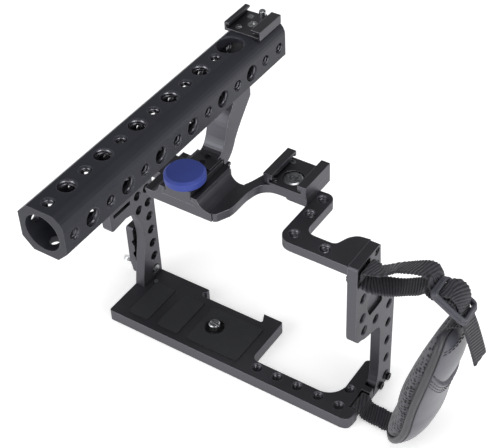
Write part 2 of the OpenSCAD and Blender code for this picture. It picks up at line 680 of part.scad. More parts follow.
module handle_shoe() {
    color("dimgray") difference() {
        union() {
            shoe(hshoe_x, hshoe_y0, hshoe_y1, hshoe_z, hshoe_w, hshoe_floor, hshoe_lip, 2.6, 5.4);
            translate([hshoe_x, pin_y, hshoe_z]) cylinder(h = hshoe_floor, r = pin_r + 0.6);
        }
        for (p = hshoe_holes) {
            translate([p[0], p[1], hshoe_z - 1]) cylinder(h = 5, r = 0.95);
            translate([p[0], p[1], hshoe_z + 0.6]) cylinder(h = 1, r = 1.7);
        }
        translate([hshoe_x, hshoe_y, hshoe_z - 1]) cylinder(h = 5, r = 1.45);
        translate([hshoe_x, hshoe_y, hshoe_z + 0.5]) cylinder(h = 5, r = 2.6);
        translate([hshoe_x, pin_y, hshoe_z - 1]) cylinder(h = 6, r = pin_r + run);
    }
}

module handle_shoe_screws() {
    color("silver") {
        for (p = hshoe_holes) translate([p[0], p[1], hshoe_z - 2.5]) {
            cylinder(h = 3.2, r = 0.9);
            difference() {
                translate([0, 0, 3.1]) cylinder(h = 0.7, r = 1.6);
                translate([-2, -0.25, 3.5]) cube([4, 0.5, 1]);
            }
        }
        translate([hshoe_x, hshoe_y, hshoe_z - 2.5]) {
            cylinder(h = 3.1, r = 1.4);
            difference() {
                translate([0, 0, 3]) cylinder(h = 0.8, r = 2.5);
                translate([0, 0, 3.3]) cylinder(h = 1, r = 1.2, $fn = 6);
            }
        }
    }
}

module shoe_lock_pin() {
    color("black") translate([hshoe_x, pin_y, hshoe_z - 1.6]) {
        cylinder(h = pin_h + 1.2, r = pin_r);
        translate([0, 0, pin_h + 1.2 - e]) cylinder(h = 0.4, r1 = pin_r, r2 = pin_r - 0.4);
    }
}

module jaw_spacer() {
    color("black") difference() {
        translate([left_x - jaw_gap + 0.1, clamp_y, clamp_z]) rotate([0, 90, 0])
            cylinder(h = jaw_gap - 0.1, r = 5);
        translate([left_x - jaw_gap - 1, clamp_y, clamp_z]) rotate([0, 90, 0])
            cylinder(h = jaw_gap + 2, r = thumb_r + 0.2);
    }
}

module cable_jaw() {
    color("dimgray") difference() {
        union() {
            side(jaw_x0, jaw_x1, [[clamp_y - lug_r, clamp_z], [clamp_y + lug_r, clamp_z], [jaw_y1, clamp_z + 9],
                [jaw_y1, jaw_top - 1], [jaw_y1 - 1, jaw_top], [jaw_y0 + 1, jaw_top], [jaw_y0, jaw_top - 1],
                [jaw_y0, clamp_z + 9]]);
            translate([jaw_x0, clamp_y, clamp_z]) rotate([0, 90, 0]) cylinder(h = jaw_t, r = lug_r);
        }
        translate([jaw_x0 - 1, clamp_y, clamp_z]) rotate([0, 90, 0]) cylinder(h = jaw_t + 2, r = thumb_r + run);
        for (z = [14, 23])
            translate([jaw_x1 - 1.2, jaw_y0 - 1, clamp_z + z]) rotate([-90, 0, 0])
                translate([2.3, 0, 0]) cylinder(h = jaw_y1 - jaw_y0 + 2, r = 2.6);
    }
}

module thumbscrew() {
    color("silver") translate([jaw_x0 - seat, clamp_y, clamp_z]) rotate([0, -90, 0]) {
        cylinder(h = 3.6, r = 3.7);
        rotate([0, 0, 35]) {
            translate([-1.1, -3, 3.2]) cube([2.2, 6, 4.6]);
            for (s = [-1, 1])
                translate([0, s * 3.2, 5.6]) rotate([0, 90, 0]) translate([0, 0, -1.1]) cylinder(h = 2.2, r = 2.9);
        }
    }
}

module thumbscrew_shaft() {
    color("silver") translate([jaw_x0 - seat, clamp_y, clamp_z]) rotate([0, 90, 0])
        cylinder(h = seat + jaw_t + jaw_gap + left_t + 0.6, r = thumb_r);
}

// The top webbing: from the grip through the buckle, round the bar between the plate's slots, back and out
bk = [right_x + 44.76, -2.2, arm_z - 1];
bk_d = [0.853, -0.004, -0.522];
bk_u = [-0.06, 0.9926, -0.1055];
bk_n = cross(bk_d, bk_u);
function at_bk(d, n) = bk + bk_d * d + bk_n * n;
face_out = right_x + web_t / 2 + gap;
face_in = bay_right - web_t / 2 - gap;
slot_y = web_slot_y + web_w / 2 + 0.3;
slot_lo = web_slot_z + web_slot_t / 2;
slot_hi = slot_lo + web_slot_t + web_bar;
route_top = concat([[[right_x + 43.85, -3, arm_z - 16.6], [0, 1, 0]],
    [[right_x + 46.2, -3, arm_z - 12.9], [0, 1, 0]]],
    [for (p = [[10.4, -5.2], [8.8, -4.4], [7.2, -3.7], [5.5, -1.8], [3.6, 0.9], [1.6, 2.2], [0, 2.5], [-1.6, 2.2],
        [-3.4, 1.3], [-5.4, -1.3], [-7.1, -3.7], [-8.6, -4.3], [-10.6, -4.5], [-12.4, -4.7]])
        [at_bk(p[0], p[1]), bk_u]],
    [[[right_x + 28.4, -2.7, arm_z], [0, 1, 0.12]],
    [[right_x + 23, -2.9, arm_z - 2.9], [0, 1, 0.11]],
    [[right_x + 17.6, -3.3, arm_z - 5.8], [0, 1, 0.1]],
    [[right_x + 12.4, -4.2, arm_z - 7.3], [0, 1, 0.1]],
    [[right_x + 7.5, -5.6, arm_z - 7.5], [0, 1, 0.07]],
    [[right_x + 4, -6.8, slot_lo - 0.7], [0, 1, 0.05]],
    [[right_x + 1.6, slot_y, slot_lo - 0.2], [0, 1, 0]],
    [[right_x - 0.6, slot_y, slot_lo], [0, 1, 0]],
    [[bay_right + 1, slot_y, slot_lo], [0, 1, 0]],
    [[face_in + 0.5, slot_y, slot_lo + 0.15], [0, 1, 0]],
    [[face_in, slot_y, slot_lo + 1.1], [0, 1, 0]],
    [[face_in, slot_y, slot_hi - 1.1], [0, 1, 0]],
    [[face_in + 0.5, slot_y, slot_hi - 0.15], [0, 1, 0]],
    [[bay_right + 1, slot_y, slot_hi], [0, 1, 0]],
    [[right_x - 0.5, slot_y, slot_hi], [0, 1, 0]],
    [[face_out - 0.2, slot_y, slot_hi + 0.4], [0, 1, 0]],
    [[face_out, slot_y, slot_hi + 1.6], [0, 1, 0]],
    [[face_out + 0.1, slot_y - 0.1, slot_hi + 3.6], [0, 1, 0]],
    [[right_x + 1.9, slot_y - 0.1, arm_z + 3], [0, 1, 0]],
    [[right_x + 3.3, slot_y, arm_z + 3.2], [0, 1, -0.1]],
    [[right_x + 5.2, slot_y + 0.3, arm_z + 2.9], [0, 1, -0.2]],
    [[right_x + 8.2, -6, arm_z + 2.8], [0, 1, -0.27]],
    [[right_x + 11.4, -3.2, arm_z + 3], [0, 1, -0.28]],
    [[right_x + 15, -0.6, arm_z + 3.8], [0, 1, -0.26]],
    [[right_x + 21.9, 0, arm_z + 7.3], [0, 1, -0.2]],
    [[right_x + 28.3, -0.2, arm_z + 9.2], [0, 1, -0.16]],
    [[right_x + 32, -0.8, arm_z + 9.5], [0, 1, -0.16]]],
    [for (p = [[-13.9, 2.5], [-13.1, -0.2], [-12.1, -2.1], [-10.4, -2.8], [-8.2, -2.6], [-6.4, -0.5], [-4.6, 2.4],
        [-2.2, 3.9], [0, 4.2], [2.2, 3.8], [4.8, 1.8], [6.6, -0.9], [8.1, -2.5], [10, -2.8], [11.6, -3.5]])
        [at_bk(p[0], p[1]), bk_u]],
    [[[right_x + 54.8, -2.4, arm_z - 15.5], [0, 1, -0.1]],
    [[right_x + 57.6, -2.2, arm_z - 23.5], [0, 1, -0.1]],
    [[right_x + 60.4, -2.2, arm_z - 32], [0, 1, -0.1]]]);

module strap_top() {
    color("slategray") ribbon(route_top, web_w, web_t);
}

// The buckle lies in its own plane: a rounded frame with a middle bar under both runs of webbing
module strap_buckle() {
    w = web_w + 0.8;
    color("gray") multmatrix([[bk_d[0], bk_u[0], bk_n[0], bk[0]], [bk_d[1], bk_u[1], bk_n[1], bk[1]],
        [bk_d[2], bk_u[2], bk_n[2], bk[2]], [0, 0, 0, 1]]) {
        difference() {
            slab(-buckle_l / 2, -w / 2 - bar_t, buckle_l / 2, w / 2 + bar_t, -1.5, 1.5, 3.4);
            translate([-buckle_l / 2 + end_bar, -w / 2, -3]) cube([buckle_l - 2 * end_bar, w, 6]);
        }
        translate([-1.2, -w / 2 - bar_t / 2, -1]) cube([2.4, w + bar_t, 2.2]);
    }
}

// The padded grip: stations along its middle as [x, z, half width, half thickness]
stations = [[right_x + 19.8, 3.4, 6, 2.2], [right_x + 21.7, 6.6, 11, 4], [right_x + 24.6, 12, 15.5, 5.4],
    [right_x + 27.6, 18.5, 18.5, 6.2], [right_x + 30.4, 27, 20.2, 6.6], [right_x + 32, 37, 21, 6.6],
    [right_x + 34, 48, 21, 6.5], [right_x + 36.6, 59, 20.6, 6.2], [right_x + 39.4, 70, 19.6, 5.6],
    [right_x + 41.8, 80, 17.6, 4.8], [right_x + 43.2, 87, 14, 3.8], [right_x + 43.8, 90, 9, 2.4]];
pad_y = -3;
pad_lean = 2.8;
cover_gap = 0.3;

// A closed form lofted through the stations: how far it reaches out of its middle surface, in half
// thicknesses, on the outer side (hi) and the inner side (lo), and a crown in mm on the outer side
module loft(hi, lo, crown) {
    n = len(stations);
    m = 16;
    rows = [for (i = [0:n - 1])
        let (a = stations[max(i - 1, 0)], b = stations[min(i + 1, n - 1)])
        let (d = unit([b[0] - a[0], b[1] - a[1]]), s = stations[i])
        let (kw = pad_w / 21, kt = pad_t / 6.6)
        for (k = [0:m - 1])
            let (c = cos(k * 360 / m), q = sin(k * 360 / m))
            let (v = (c < 0 ? -1 : 1) * pow(abs(c), 0.6) * s[2] * kw)
            let (p = pow(abs(q), 0.7))
            let (h = (q > 0 ? hi : lo) * s[3] * kt * p + (q > 0 ? crown * s[3] / 6.6 * p : 0))
            [s[0] + d[1] * h, pad_y - pad_lean * max(0, 1 - s[1] / 34) + v, s[1] - d[0] * h]];
    walls = [for (i = [0:n - 2]) for (k = [0:m - 1])
        for (f = [[i * m + k, i * m + (k + 1) % m, i * m + m + k],
            [i * m + (k + 1) % m, i * m + m + (k + 1) % m, i * m + m + k]]) f];
    cap = concat([[0, m - 1, 1]], [for (k = [1:m / 2 - 2])
        for (f = [[k, m - k, k + 1], [k + 1, m - k, m - k - 1]]) f], [[m / 2 - 1, m / 2 + 1, m / 2]]);
    ends = concat(cap, [for (f = cap) [for (j = [2, 1, 0]) (n - 1) * m + f[j]]]);
    polyhedron(points = rows, faces = concat(walls, ends));
}

module strap_pad() {
    color("slategray") loft(0.9, -1, 0);
}

module strap_cover() {
    color("silver") translate([cover_gap, 0, -0.1]) loft(0.9, 0.9, cover_t);
}

// The bottom webbing: a flat loop round the base's bar
bar_x = right_x - strap_bar;
web_c = web_t / 2 + 0.2;
route_low = [
    [[right_x + 18.6, -4.6, 2.9], [0, 1, 0]],
    [[right_x + 12.4, -4.2, 1.4], [0, 1, 0]],
    [[right_x + 6.4, -4, 1.4], [0, 1, 0]],
    [[right_x + 2.6, -4, 2.2], [0, 1, 0]],
    [[right_x + 1.2, -4, 4.2], [0, 1, 0]],
    [[right_x + web_c - 0.1, -4, strap_bar_z1 - 0.1], [0, 1, 0]],
    [[right_x + 0.3, -4, strap_bar_z1 + web_c - 0.2], [0, 1, 0]],
    [[right_x - 0.8, -4, strap_bar_z1 + web_c], [0, 1, 0]],
    [[bar_x + 0.4, -4, strap_bar_z1 + web_c + 0.1], [0, 1, 0]],
    [[bar_x - 0.35, -4, strap_bar_z1 + web_c - 0.05], [0, 1, 0]],
    [[bar_x - web_c - 0.1, -4, strap_bar_z1 + 0.15], [0, 1, 0]],
    [[bar_x - web_c - 0.1, -4, strap_bar_z0 - 0.15], [0, 1, 0]],
    [[bar_x - 0.35, -4, strap_bar_z0 - web_c + 0.05], [0, 1, 0]],
    [[bar_x + 0.4, -4, strap_bar_z0 - web_c - 0.05], [0, 1, 0]]];

module strap_bottom() {
    color("slategray") ribbon(route_low, web_w, web_t);
}

base_plate();
base_pads();
camera_screw();
screw_clip();
base_screws();
base_dowel();
left_plate();
left_screws();
right_plate();
side_screws();
top_screws();
top_arm();
top_block();
top_shoe();
cross_screw();
shoe_screws();
foot();
clamp_knob();
clamp_stud();
handle_arm();
foot_screws();
handle_tube();
tube_bolt();
handle_shoe();
handle_shoe_screws();
shoe_lock_pin();
jaw_spacer();
cable_jaw();
thumbscrew();
thumbscrew_shaft();
strap_top();
strap_buckle();
strap_pad();
strap_cover();
strap_bottom();
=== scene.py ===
import json
import math
import bpy
import bmesh
from mathutils import Matrix, Vector


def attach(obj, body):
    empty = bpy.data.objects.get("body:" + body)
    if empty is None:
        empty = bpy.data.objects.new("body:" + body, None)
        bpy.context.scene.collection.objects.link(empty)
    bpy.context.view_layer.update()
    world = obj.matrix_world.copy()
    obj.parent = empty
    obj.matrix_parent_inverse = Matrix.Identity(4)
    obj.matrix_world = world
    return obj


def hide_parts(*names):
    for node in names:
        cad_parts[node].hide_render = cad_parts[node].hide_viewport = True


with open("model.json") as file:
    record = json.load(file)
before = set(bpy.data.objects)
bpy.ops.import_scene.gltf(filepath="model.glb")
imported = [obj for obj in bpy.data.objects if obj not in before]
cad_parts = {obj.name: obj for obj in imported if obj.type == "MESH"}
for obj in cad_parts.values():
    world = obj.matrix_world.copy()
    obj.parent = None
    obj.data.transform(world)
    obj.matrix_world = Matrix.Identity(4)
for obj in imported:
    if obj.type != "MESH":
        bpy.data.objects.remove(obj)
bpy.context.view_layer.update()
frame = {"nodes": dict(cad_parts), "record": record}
mm = 0.001
scene = bpy.context.scene
print("frame loaded:", len(frame["nodes"]), "nodes")


def toLinear(hexColour):
    parts = [int(hexColour[i:i + 2], 16) / 255 for i in (1, 3, 5)]
    return tuple(p / 12.92 if p <= 0.04045 else ((p + 0.055) / 1.055) ** 2.4 for p in parts) + (1.0,)


def addNode(tree, kind, settings=None, links=None):
    node = tree.nodes.new(kind)
    for key, value in (settings or {}).items():
        if isinstance(key, str) and hasattr(node, key):
            setattr(node, key, value)
        else:
            node.inputs[key].default_value = value
    for key, source in (links or {}).items():
        tree.links.new(source, node.inputs[key])
    return node


def newMaterial(name):
    material = bpy.data.materials.new(name)
    material.use_nodes = True
    material.node_tree.nodes.clear()
    return material, material.node_tree


def finishMaterial(tree, shader):
    addNode(tree, "ShaderNodeOutputMaterial", links={"Surface": shader.outputs[0]})


def objectPlace(tree):
    return addNode(tree, "ShaderNodeTexCoord").outputs["Object"]


# each colour is a hex text or another node's socket
def mixColours(tree, factor, first, second):
    node = addNode(tree, "ShaderNodeMix", {"data_type": "RGBA"}, {0: factor})
    for slot, colour in ((6, first), (7, second)):
        if isinstance(colour, str):
            node.inputs[slot].default_value = toLinear(colour)
        else:
            tree.links.new(colour, node.inputs[slot])
    return node.outputs[2]


# each term is a number or another node's socket
def compute(tree, operation, *terms):
    node = addNode(tree, "ShaderNodeMath", {"operation": operation})
    for slot, term in enumerate(terms):
        if isinstance(term, (int, float)):
            node.inputs[slot].default_value = term
        else:
            tree.links.new(term, node.inputs[slot])
    return node.outputs[0]


def remap(tree, value, fromMin, fromMax, toMin=0.0, toMax=1.0):
    limits = {"From Min": fromMin, "From Max": fromMax, "To Min": toMin, "To Max": toMax}
    return addNode(tree, "ShaderNodeMapRange", limits, {"Value": value}).outputs[0]


def noise(tree, place, scale, detail, roughness=0.5, distortion=0.0):
    look = {"Scale": scale, "Detail": detail, "Roughness": roughness, "Distortion": distortion}
    return addNode(tree, "ShaderNodeTexNoise", look, {"Vector": place}).outputs[0]


def addBump(tree, height, strength, distance, normal=None):
    links = {"Height": height}
    if normal is not None:
        links["Normal"] = normal
    return addNode(tree, "ShaderNodeBump", {"Strength": strength, "Distance": distance}, links).outputs[0]


def meshObject(name, verts, faces, smooth=True):
    data = bpy.data.meshes.new(name)
    data.from_pydata([tuple(v) for v in verts], [], faces)
    data.update()
    if smooth:
        data.polygons.foreach_set("use_smooth", [True] * len(data.polygons))
    obj = bpy.data.objects.new(name, data)
    scene.collection.objects.link(obj)
    return obj


def faceOutward(obj):
    work = bmesh.new()
    work.from_mesh(obj.data)
    bmesh.ops.recalc_face_normals(work, faces=work.faces)
    work.to_mesh(obj.data)
    work.free()


def dress(obj, material, body="cage"):
    obj.data.materials.clear()
    obj.data.materials.append(material)
    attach(obj, body)
    return obj


# a smooth curve through rows of numbers, sampled about every step along its first three
def smoothRows(rows, step):
    out = []
    for i in range(len(rows) - 1):
        a, b, c, d = rows[max(i - 1, 0)], rows[i], rows[i + 1], rows[min(i + 2, len(rows) - 1)]
        length = math.dist(b[:3], c[:3])
        count = max(1, round(length / step))
        for k in range(count):
            t = k / count
            out.append([0.5 * (2 * q + (r - p) * t + (2 * p - 5 * q + 4 * r - s) * t * t
                               + (3 * q - p - 3 * r + s) * t ** 3) for p, q, r, s in zip(a, b, c, d)])
    out.append(list(rows[-1]))
    return out


cameraView = {
    "place": (0.2990495, -0.3859541, 0.5177451),
    "right": (0.83606366, 0.54740922, -0.03661568),
    "down": (0.34120382, -0.57106577, -0.74663501),
    "forward": (-0.42962485, 0.61174099, -0.66422546),
    "lens": 89.324,
}
eye = bpy.data.objects.new("camera", bpy.data.cameras.new("camera"))
scene.collection.objects.link(eye)
eye.data.sensor_width = 36
eye.data.sensor_fit = "HORIZONTAL"
eye.data.lens = cameraView["lens"]
eye.data.clip_start = 0.01
eye.data.clip_end = 20
up, back = [-c for c in cameraView["down"]], [-c for c in cameraView["forward"]]
turn = Matrix((cameraView["right"], up, back)).transposed()
eye.matrix_world = Matrix.Translation(cameraView["place"]) @ turn.to_4x4()
scene.camera = eye
scene.view_settings.view_transform = "Standard"
print("camera set")

# the floor, the sky and the lights: white all round, dark overhead
studio = {
    "floorColour": "#f2f2f2", "floorGlow": 0.42, "floorReach": 3.0, "floorDrop": 0.0004,
    "skyFill": 0.4, "skyTop": 0.07, "skyEdge": (0.12, 0.5), "aim": (0.03, 0.0, 0.08),
    "lamps": [
        # name, place, size, watts: soft panels, all turned to the aim
        ("keyPanel", (-0.55, -1.2, 0.75), 0.9, 9.0),
        ("sidePanel", (1.25, -0.35, 0.5), 0.8, 8.0),
        ("topPanel", (0.35, -0.1, 1.5), 0.8, 6.0),
    ],
}


def makeSky():
    world = bpy.data.worlds.new("studioWorld")
    scene.world = world
    world.use_nodes = True
    tree = world.node_tree
    tree.nodes.clear()
    way = addNode(tree, "ShaderNodeTexCoord")
    split = addNode(tree, "ShaderNodeSeparateXYZ", links={0: way.outputs["Generated"]})
    # a dark ceiling over white walls, as metal sees it
    height = remap(tree, split.outputs["Z"], *studio["skyEdge"], 1.0, studio["skyTop"])
    rays = addNode(tree, "ShaderNodeLightPath")
    mirrored = compute(tree, "MAXIMUM", rays.outputs["Is Glossy Ray"], rays.outputs["Is Transmission Ray"])
    level = addNode(tree, "ShaderNodeMix", {"data_type": "FLOAT", 2: studio["skyFill"]},
                    {0: mirrored, 3: height})
    total = addNode(tree, "ShaderNodeMix", {"data_type": "FLOAT", 3: 1.0},
                    {0: rays.outputs["Is Camera Ray"], 2: level.outputs[0]})
    light = addNode(tree, "ShaderNodeBackground", {"Color": (1, 1, 1, 1)}, {"Strength": total.outputs[0]})
    addNode(tree, "ShaderNodeOutputWorld", links={"Surface": light.outputs[0]})


def makeLamps():
    for name, place, size, watts in studio["lamps"]:
        lamp = bpy.data.lights.new(name, "AREA")
        lamp.shape = "SQUARE"
        lamp.size = size
        lamp.energy = watts
        holder = bpy.data.objects.new(name, lamp)
        scene.collection.objects.link(holder)
        holder.location = place
        way = Vector(studio["aim"]) - Vector(place)
        holder.rotation_euler = way.to_track_quat("-Z", "Y").to_euler()


def makeFloor():
    material, tree = newMaterial("whitePaperSweep")  # matt white paper: plain, even, keeps soft shadows
    rays = addNode(tree, "ShaderNodeLightPath")
    seen = compute(tree, "MAXIMUM", rays.outputs["Is Camera Ray"], rays.outputs["Is Glossy Ray"])
    seen = compute(tree, "MAXIMUM", seen, rays.outputs["Is Transmission Ray"])
    glow = compute(tree, "MULTIPLY", seen, studio["floorGlow"])
    shader = addNode(tree, "ShaderNodeBsdfPrincipled",
                     {"Base Color": toLinear(studio["floorColour"]), "Roughness": 0.95,
                      "Specular IOR Level": 0.0, "Emission Color": (1, 1, 1, 1)}, {"Emission Strength": glow})
    finishMaterial(tree, shader)
    # one flat sheet just under the cage's feet
    reach, level = studio["floorReach"], -studio["floorDrop"]
    corners = [(x, y, level) for y in (-reach, reach) for x in (-reach, reach)]
    floor = meshObject("floorSheet", corners, [(0, 1, 3, 2)], smooth=False)
    floor.data.materials.append(material)


makeSky()
makeLamps()
makeFloor()
print("studio set")


# the surface's normal with its edges rounded off
def roundedNormal(tree, radius):
    return addNode(tree, "ShaderNodeBevel", {"samples": 6, "Radius": radius}).outputs[0]


# the rounded edges: 1 on an edge, 0 on a face; it masks the painted highlights along cut edges
def edgeMask(tree, bent):
    flat = addNode(tree, "ShaderNodeNewGeometry").outputs["Normal"]
    match = addNode(tree, "ShaderNodeVectorMath", {"operation": "DOT_PRODUCT"}, {0: bent, 1: flat})
    return remap(tree, match.outputs["Value"], 0.985, 0.86)


# anodised aluminium: machined, then bead blasted or left smooth, then dyed; the blast gives a fine even grain
# with a soft broad sheen, and handling leaves faint cloudy patches
def makeAnodised(name, look):
    material, tree = newMaterial(name)
    place = objectPlace(tree)
    bent = roundedNormal(tree, look["edge"])
    cloud = noise(tree, place, 1 / look["cloud"], 3.0, 0.55)
    tone = mixColours(tree, cloud, look["dark"], look["light"])
    # painted shade: bores, corners and recesses, found by ambient occlusion, are darkened almost to black
    clear = addNode(tree, "ShaderNodeAmbientOcclusion", {"samples": 8, "Distance": look["shade"]})
    unshadedAmount = remap(tree, clear.outputs["AO"], 0.18, 0.62, 0.06)
    shaded = mixColours(tree, unshadedAmount, "#050506", tone)
    # painted highlight: edges outside the painted shade are drawn in the lighter edge colour
    paintedEdgeHighlight = compute(tree, "MULTIPLY", compute(tree, "MULTIPLY", edgeMask(tree, bent), unshadedAmount), look["edgeShine"])
    colour = mixColours(tree, paintedEdgeHighlight, shaded, look["edgeColour"])
    grain = noise(tree, place, 1 / look["grain"], 2.0, 0.6)
    rough = remap(tree, cloud, 0.3, 0.7, look["rough"] - 0.05, look["rough"] + 0.06)
    bump = addBump(tree, grain, look["bump"], 0.00006, bent)
    shader = addNode(tree, "ShaderNodeBsdfPrincipled",
                     {"Metallic": look["metal"], "Specular IOR Level": look["specular"]},
                     {"Base Color": colour, "Roughness": rough, "Normal": bump})
    finishMaterial(tree, shader)
    return material


# the real blasted grain is about 0.1 mm; drawn at 0.3 mm so that it shows
blackAnodised = makeAnodised("blackAnodisedAluminium", {
    "dark": "#535358", "light": "#606066", "cloud": 0.03, "grain": 0.0003, "bump": 0.35, "rough": 0.42,
    "edge": 0.0004, "edgeShine": 0.6, "edgeColour": "#a0a0a6",
    "metal": 0.9, "specular": 0.4, "shade": 0.005})
tubeAnodised = makeAnodised("smoothBlackAnodisedTube", {
    "dark": "#2a2b31", "light": "#34353d", "cloud": 0.05, "grain": 0.0002, "bump": 0.12, "rough": 0.4,
    "edge": 0.0006, "edgeShine": 0.45, "edgeColour": "#7a7b86",
    "metal": 0.25, "specular": 0.3, "shade": 0.006})
blueAnodised = makeAnodised("blueAnodisedAluminium", {
    "dark": "#3c4a97", "light": "#4654a3", "cloud": 0.012, "grain": 0.0004, "bump": 0.1, "rough": 0.5,
    "edge": 0.0006, "edgeShine": 0.4, "edgeColour": "#7682d2",
    "metal": 0.1, "specular": 0.2, "shade": 0.002})


# zinc-plated or turned stainless steel: bright, with fine turning marks
def makeSteel(name, dark, light, rough, metal):
    material, tree = newMaterial(name)
    stain = noise(tree, objectPlace(tree), 700.0, 4.0)
    tone = mixColours(tree, stain, dark, light)
    spread = remap(tree, stain, 0.3, 0.7, rough - 0.07, rough + 0.08)
    bump = addBump(tree, stain, 0.15, 0.00005, roundedNormal(tree, 0.0002))
    shader = addNode(tree, "ShaderNodeBsdfPrincipled", {"Metallic": metal},
                     {"Base Color": tone, "Roughness": spread, "Normal": bump})
    finishMaterial(tree, shader)
    return material


brightSteel = makeSteel("zincPlatedSteel", "#a9abae", "#d4d6d8", rough=0.3, metal=1.0)
blackSteel = makeSteel("blackOxideSteel", "#17171a", "#232327", rough=0.38, metal=0.6)
# threads cut after the dye are bare aluminium, those cut before it are as dark as the faces
bareThread = makeSteel("bareCutThread", "#5c5c62", "#8c8c92", rough=0.35, metal=1.0)
dyedThread = makeSteel("dyedCutThread", "#17171a", "#26262a", rough=0.45, metal=0.6)


# moulded rubber sheet: matt, almost black, with a fine cloth-like emboss
def makeRubber(name, look):
    material, tree = newMaterial(name)
    place = objectPlace(tree)
    emboss = addNode(tree, "ShaderNodeTexVoronoi", {"Scale": 1 / look["emboss"]}, {"Vector": place})
    tone = mixColours(tree, noise(tree, place, 90.0, 5.0), look["dark"], look["light"])
    bump = addBump(tree, emboss.outputs["Distance"], 0.3, 0.0001)
    shader = addNode(tree, "ShaderNodeBsdfPrincipled", {"Roughness": 0.62, "Specular IOR Level": 0.4},
                     {"Base Color": tone, "Normal": bump})
    finishMaterial(tree, shader)
    return material


blackRubber = makeRubber("mouldedRubber", {"dark": "#26272a", "light": "#2d2e31", "emboss": 0.0007})

# the webbing's own sizes, in mm; ribs really 1.2 mm apart, drawn at 1.6 mm so that they show
webbing = {
    "width": 12.5, "thick": 1.3, "rib": 1.6, "slant": -0.35, "ribHeight": 0.14, "serration": 0.26,
    "selvedge": 0.14, "step": 0.3, "columns": 18,
}


# woven nylon webbing: heavy filling ribs across, bundles of filaments along, a dull sheen from the filaments
def makeWebbingMaterial(name, dark, light):
    material, tree = newMaterial(name)
    place = addNode(tree, "ShaderNodeAttribute", {"attribute_name": "webPlace"})
    split = addNode(tree, "ShaderNodeSeparateXYZ", links={0: place.outputs["Vector"]})
    turnRate = 2 * math.pi / (webbing["rib"] * mm)
    along = compute(tree, "MULTIPLY", split.outputs["X"], turnRate)
    across = compute(tree, "MULTIPLY", split.outputs["Y"], turnRate * webbing["slant"])
    ribs = remap(tree, compute(tree, "SINE", compute(tree, "ADD", along, across)), -0.9, 0.9)
    fuzz = noise(tree, objectPlace(tree), 900.0, 3.0)
    height = compute(tree, "MULTIPLY_ADD", ribs, 0.7, fuzz)
    # painted shade: the colour follows the ribs' height, dark in the valleys and light on the crests
    colour = mixColours(tree, remap(tree, height, 0.35, 1.15), dark, light)
    bump = addBump(tree, height, 0.8, 0.00022)
    shader = addNode(tree, "ShaderNodeBsdfPrincipled",
                     {"Roughness": 0.6, "Specular IOR Level": 0.45,
                      "Sheen Weight": 0.25, "Sheen Roughness": 0.4},
                     {"Base Color": colour, "Normal": bump})
    finishMaterial(tree, shader)
    return material


wovenNylon = makeWebbingMaterial("wovenNylonWebbing", "#0f0f12", "#393940")


# moulded acetal: smooth and satin, a little waxy, with faint flow marks
def makeAcetal(name, look):
    material, tree = newMaterial(name)
    bent = roundedNormal(tree, look["edge"])
    flow = noise(tree, objectPlace(tree), 160.0, 4.0, distortion=1.2)
    tone = mixColours(tree, flow, look["dark"], look["light"])
    # painted highlight: the rounded edges are drawn in the lighter edge colour
    colour = mixColours(tree, edgeMask(tree, bent), tone, look["edgeColour"])
    bump = addBump(tree, flow, 0.15, 0.0001, bent)
    shader = addNode(tree, "ShaderNodeBsdfPrincipled", {"Roughness": 0.36, "Specular IOR Level": 0.5},
                     {"Base Color": colour, "Normal": bump})
    finishMaterial(tree, shader)
    return material


greyAcetal = makeAcetal("mouldedAcetal", {
    "dark": "#3e3e46", "light": "#4b4b54", "edge": 0.0005, "edgeColour": "#8e8e98"})


# air mesh: a knitted spacer cloth with rows of small open cells, the cells drawn near black as painted shade;
# cells really 1.2 mm apart, drawn at 1.9 mm
def makeAirMesh(name, look):
    material, tree = newMaterial(name)
    place = objectPlace(tree)
    cells = addNode(tree, "ShaderNodeTexVoronoi", {"Scale": 1 / look["cell"], "Randomness": 0.55},
                    {"Vector": place})
    hole = remap(tree, cells.outputs["Distance"], 0.5, 0.3)
    fuzz = noise(tree, place, 260.0, 5.0, 0.7)
    yarn = mixColours(tree, fuzz, look["dark"], look["light"])
    # painted shade: the open cells are drawn in the near-black hole colour
    colour = mixColours(tree, hole, yarn, look["hole"])
    bump = addBump(tree, compute(tree, "MULTIPLY_ADD", hole, -1.0, fuzz), 0.6, 0.0004)
    shader = addNode(tree, "ShaderNodeBsdfPrincipled",
                     {"Roughness": 0.8, "Specular IOR Level": 0.25,
                      "Sheen Weight": 0.3, "Sheen Roughness": 0.5},
                     {"Base Color": colour, "Normal": bump})
    finishMaterial(tree, shader)
    return material


airMesh = makeAirMesh("knittedAirMesh", {
    "dark": "#4c4c52", "light": "#74747a", "hole": "#1e1e22", "cell": 0.0019})


# coated synthetic leather: rolled pebble grain, a wide satin shine along its curves
def makeLeather(name, dark, light, rough, pebble):
    material, tree = newMaterial(name)
    place = objectPlace(tree)
    grain = addNode(tree, "ShaderNodeTexVoronoi", {"Scale": 1 / pebble, "feature": "SMOOTH_F1"},
                    {"Vector": place})
    crease = noise(tree, place, 120.0, 6.0, distortion=0.6)
    tone = mixColours(tree, crease, dark, light)
    height = compute(tree, "MULTIPLY_ADD", grain.outputs["Distance"], 0.5, crease)
    bump = addBump(tree, height, 0.3, 0.0003)
    shader = addNode(tree, "ShaderNodeBsdfPrincipled",
                     {"Roughness": rough, "Specular IOR Level": 0.6,
                      "Coat Weight": 0.2, "Coat Roughness": 0.3},
                     {"Base Color": tone, "Normal": bump})
    finishMaterial(tree, shader)
    return material


greyLeather = makeLeather("coatedGreyLeather", "#45454e", "#585862", rough=0.36, pebble=0.0009)
bindingLeather = makeLeather("foldedBinding", "#2c2c31", "#38383e", rough=0.5, pebble=0.0008)
darkThread = makeLeather("bondedSewingThread", "#2b2b30", "#3a3a40", rough=0.6, pebble=0.0003)

